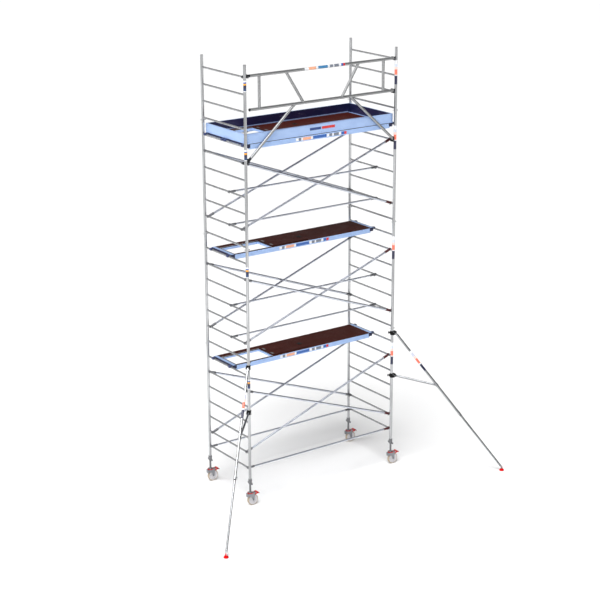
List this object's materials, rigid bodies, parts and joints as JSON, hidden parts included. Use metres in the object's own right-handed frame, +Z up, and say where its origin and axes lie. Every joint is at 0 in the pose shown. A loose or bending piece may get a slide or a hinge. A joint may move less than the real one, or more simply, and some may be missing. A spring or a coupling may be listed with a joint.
{
  "type": "mobile tower scaffold",
  "caption": "Tall mobile aluminium tower scaffold with stacked ladder frames, hatch decks, hooked braces, a guarded top platform, braked swivel castors and stabilisers.",
  "frame": {"origin": "on the floor, at the centre of the footprint that the castors and stabilisers cover", "axes": "+X along the bay to the right, +Y to the rear, +Z up"},
  "size_m": [6.0106, 2.8124, 7.596],
  "materials": {
    "upright_aluminium": "satin drawn aluminium tube with welded rungs",
    "brace_aluminium": "satin drawn aluminium tube",
    "guard_aluminium": "matt aluminium tube",
    "zinc_steel": "zinc plated steel",
    "cast_aluminium": "dark cast aluminium claw",
    "latch_black": "black moulded plastic",
    "deck_beam_blue": "pale blue anodised aluminium profile",
    "deck_plywood": "dark brown film-faced plywood",
    "hook_blue": "navy blue painted steel",
    "toe_board_blue": "pale blue anodised aluminium profile",
    "bracket_navy": "dark navy moulded plastic",
    "wheel_nylon": "pale grey nylon wheel with a beige tread",
    "brake_red": "red moulded plastic",
    "clamp_black": "black coated steel",
    "foot_red": "red rubber"
  },
  "bodies": {
    "tower": {"left_frame_1": "upright_aluminium", "left_frame_2": "upright_aluminium", "left_frame_3": "upright_aluminium", "left_frame_4": "upright_aluminium", "right_frame_1": "upright_aluminium", "right_frame_2": "upright_aluminium", "right_frame_3": "upright_aluminium", "right_frame_4": "upright_aluminium", "frame_spigots": "cast_aluminium", "frame_lock_pins": "zinc_steel", "level_1_braces": "brace_aluminium", "level_2_braces": "brace_aluminium", "level_3_braces": "brace_aluminium", "level_2_guardrails": "brace_aluminium", "level_3_guardrails": "brace_aluminium", "brace_claws": "cast_aluminium", "claw_latches": "latch_black", "lower_deck_frame": "deck_beam_blue", "middle_deck_frame": "deck_beam_blue", "upper_front_deck_frame": "deck_beam_blue", "upper_rear_deck_frame": "deck_beam_blue", "lower_deck_board": "deck_plywood", "middle_deck_board": "deck_plywood", "upper_front_deck_board": "deck_plywood", "upper_rear_deck_board": "deck_plywood", "deck_hooks": "hook_blue", "toe_boards": "toe_board_blue", "toe_board_brackets": "bracket_navy", "guardrail_frame": "guard_aluminium"},
    "lower_lid": {"lower_hatch_lid": "deck_plywood"},
    "middle_lid": {"middle_hatch_lid": "deck_plywood"},
    "upper_lid": {"upper_hatch_lid": "deck_plywood"},
    "front_left_jack": {"front_left_spindle": "zinc_steel"},
    "front_left_nut": {"front_left_wing_nut": "zinc_steel"},
    "front_left_swivel": {"front_left_fork": "zinc_steel"},
    "front_left_wheel_body": {"front_left_wheel": "wheel_nylon"},
    "front_left_brake": {"front_left_brake_pedal": "brake_red"},
    "front_right_jack": {"front_right_spindle": "zinc_steel"},
    "front_right_nut": {"front_right_wing_nut": "zinc_steel"},
    "front_right_swivel": {"front_right_fork": "zinc_steel"},
    "front_right_wheel_body": {"front_right_wheel": "wheel_nylon"},
    "front_right_brake": {"front_right_brake_pedal": "brake_red"},
    "rear_left_jack": {"rear_left_spindle": "zinc_steel"},
    "rear_left_nut": {"rear_left_wing_nut": "zinc_steel"},
    "rear_left_swivel": {"rear_left_fork": "zinc_steel"},
    "rear_left_wheel_body": {"rear_left_wheel": "wheel_nylon"},
    "rear_left_brake": {"rear_left_brake_pedal": "brake_red"},
    "rear_right_jack": {"rear_right_spindle": "zinc_steel"},
    "rear_right_nut": {"rear_right_wing_nut": "zinc_steel"},
    "rear_right_swivel": {"rear_right_fork": "zinc_steel"},
    "rear_right_wheel_body": {"rear_right_wheel": "wheel_nylon"},
    "rear_right_brake": {"rear_right_brake_pedal": "brake_red"},
    "left_stabiliser": {"left_stabiliser_clamps": "clamp_black", "left_stabiliser_arm": "brace_aluminium"},
    "left_leg": {"left_stabiliser_leg": "brace_aluminium"},
    "left_foot": {"left_stabiliser_foot": "foot_red"},
    "right_stabiliser": {"right_stabiliser_clamps": "clamp_black", "right_stabiliser_arm": "brace_aluminium"},
    "right_leg": {"right_stabiliser_leg": "brace_aluminium"},
    "right_foot": {"right_stabiliser_foot": "foot_red"}
  },
  "joints": [
    {"name": "lower_hatch_hinge", "type": "hinge", "parent": "tower", "child": "lower_lid", "pos_m": [-0.655, 0.83918, 2.387], "axis": [0, -1, 0], "range_deg": [0, 180]},
    {"name": "middle_hatch_hinge", "type": "hinge", "parent": "tower", "child": "middle_lid", "pos_m": [-0.655, 0.83918, 4.347], "axis": [0, -1, 0], "range_deg": [0, 180]},
    {"name": "upper_hatch_hinge", "type": "hinge", "parent": "tower", "child": "upper_lid", "pos_m": [-0.655, 0.94618, 6.307], "axis": [0, -1, 0], "range_deg": [0, 180]},
    {"name": "front_left_nut_turn", "type": "hinge", "parent": "tower", "child": "front_left_nut", "pos_m": [-1.535, 0.06418, 0.44], "axis": [0, 0, 1], "range_deg": [0, 9000]},
    {"name": "front_left_height", "type": "slide", "parent": "tower", "child": "front_left_jack", "axis": [0, 0, -1], "range_m": [0, 0.2]},
    {"name": "front_left_swivel_turn", "type": "hinge", "parent": "front_left_jack", "child": "front_left_swivel", "pos_m": [-1.535, 0.06418, 0.226], "axis": [0, 0, 1], "continuous": true},
    {"name": "front_left_wheel_spin", "type": "hinge", "parent": "front_left_swivel", "child": "front_left_wheel_body", "pos_m": [-1.49, 0.06418, 0.1], "axis": [0, 1, 0], "continuous": true},
    {"name": "front_left_brake_lever", "type": "hinge", "parent": "front_left_swivel", "child": "front_left_brake", "pos_m": [-1.452, 0.06418, 0.202], "axis": [0, -1, 0], "range_deg": [0, 20]},
    {"name": "front_right_nut_turn", "type": "hinge", "parent": "tower", "child": "front_right_nut", "pos_m": [1.535, 0.06418, 0.44], "axis": [0, 0, 1], "range_deg": [0, 9000]},
    {"name": "front_right_height", "type": "slide", "parent": "tower", "child": "front_right_jack", "axis": [0, 0, -1], "range_m": [0, 0.2]},
    {"name": "front_right_swivel_turn", "type": "hinge", "parent": "front_right_jack", "child": "front_right_swivel", "pos_m": [1.535, 0.06418, 0.226], "axis": [0, 0, 1], "continuous": true},
    {"name": "front_right_wheel_spin", "type": "hinge", "parent": "front_right_swivel", "child": "front_right_wheel_body", "pos_m": [1.58, 0.06418, 0.1], "axis": [0, 1, 0], "continuous": true},
    {"name": "front_right_brake_lever", "type": "hinge", "parent": "front_right_swivel", "child": "front_right_brake", "pos_m": [1.618, 0.06418, 0.202], "axis": [0, -1, 0], "range_deg": [0, 20]},
    {"name": "rear_left_nut_turn", "type": "hinge", "parent": "tower", "child": "rear_left_nut", "pos_m": [-1.535, 1.33418, 0.44], "axis": [0, 0, 1], "range_deg": [0, 9000]},
    {"name": "rear_left_height", "type": "slide", "parent": "tower", "child": "rear_left_jack", "axis": [0, 0, -1], "range_m": [0, 0.2]},
    {"name": "rear_left_swivel_turn", "type": "hinge", "parent": "rear_left_jack", "child": "rear_left_swivel", "pos_m": [-1.535, 1.33418, 0.226], "axis": [0, 0, 1], "continuous": true},
    {"name": "rear_left_wheel_spin", "type": "hinge", "parent": "rear_left_swivel", "child": "rear_left_wheel_body", "pos_m": [-1.49, 1.33418, 0.1], "axis": [0, 1, 0], "continuous": true},
    {"name": "rear_left_brake_lever", "type": "hinge", "parent": "rear_left_swivel", "child": "rear_left_brake", "pos_m": [-1.452, 1.33418, 0.202], "axis": [0, -1, 0], "range_deg": [0, 20]},
    {"name": "rear_right_nut_turn", "type": "hinge", "parent": "tower", "child": "rear_right_nut", "pos_m": [1.535, 1.33418, 0.44], "axis": [0, 0, 1], "range_deg": [0, 9000]},
    {"name": "rear_right_height", "type": "slide", "parent": "tower", "child": "rear_right_jack", "axis": [0, 0, -1], "range_m": [0, 0.2]},
    {"name": "rear_right_swivel_turn", "type": "hinge", "parent": "rear_right_jack", "child": "rear_right_swivel", "pos_m": [1.535, 1.33418, 0.226], "axis": [0, 0, 1], "continuous": true},
    {"name": "rear_right_wheel_spin", "type": "hinge", "parent": "rear_right_swivel", "child": "rear_right_wheel_body", "pos_m": [1.58, 1.33418, 0.1], "axis": [0, 1, 0], "continuous": true},
    {"name": "rear_right_brake_lever", "type": "hinge", "parent": "rear_right_swivel", "child": "rear_right_brake", "pos_m": [1.618, 1.33418, 0.202], "axis": [0, -1, 0], "range_deg": [0, 20]},
    {"name": "left_stabiliser_swing", "type": "hinge", "parent": "tower", "child": "left_stabiliser", "pos_m": [-1.535, 0.06418, 2.518], "axis": [0, 0, 1], "range_deg": [-45, 45]},
    {"name": "left_leg_slide", "type": "slide", "parent": "left_stabiliser", "child": "left_leg", "axis": [-0.4404, -0.4404, -0.7824], "range_m": [0, 0.3]},
    {"name": "left_foot_tilt", "type": "hinge", "parent": "left_leg", "child": "left_foot", "pos_m": [-2.96336, -1.36418, 0.058], "axis": [0.7071, -0.7071, 0], "range_deg": [-20, 20]},
    {"name": "right_stabiliser_swing", "type": "hinge", "parent": "tower", "child": "right_stabiliser", "pos_m": [1.535, 0.06418, 2.518], "axis": [0, 0, 1], "range_deg": [-45, 45]},
    {"name": "right_leg_slide", "type": "slide", "parent": "right_stabiliser", "child": "right_leg", "axis": [0.4404, -0.4404, -0.7824], "range_m": [0, 0.3]},
    {"name": "right_foot_tilt", "type": "hinge", "parent": "right_leg", "child": "right_foot", "pos_m": [2.96336, -1.36418, 0.058], "axis": [0.7071, 0.7071, 0], "range_deg": [-20, 20]}
  ],
  "couplings": [
    {"joint": "front_left_height", "follows": "front_left_nut_turn", "m_per_rad": 0.0012732},
    {"joint": "front_right_height", "follows": "front_right_nut_turn", "m_per_rad": 0.0012732},
    {"joint": "rear_left_height", "follows": "rear_left_nut_turn", "m_per_rad": 0.0012732},
    {"joint": "rear_right_height", "follows": "rear_right_nut_turn", "m_per_rad": 0.0012732}
  ]
}
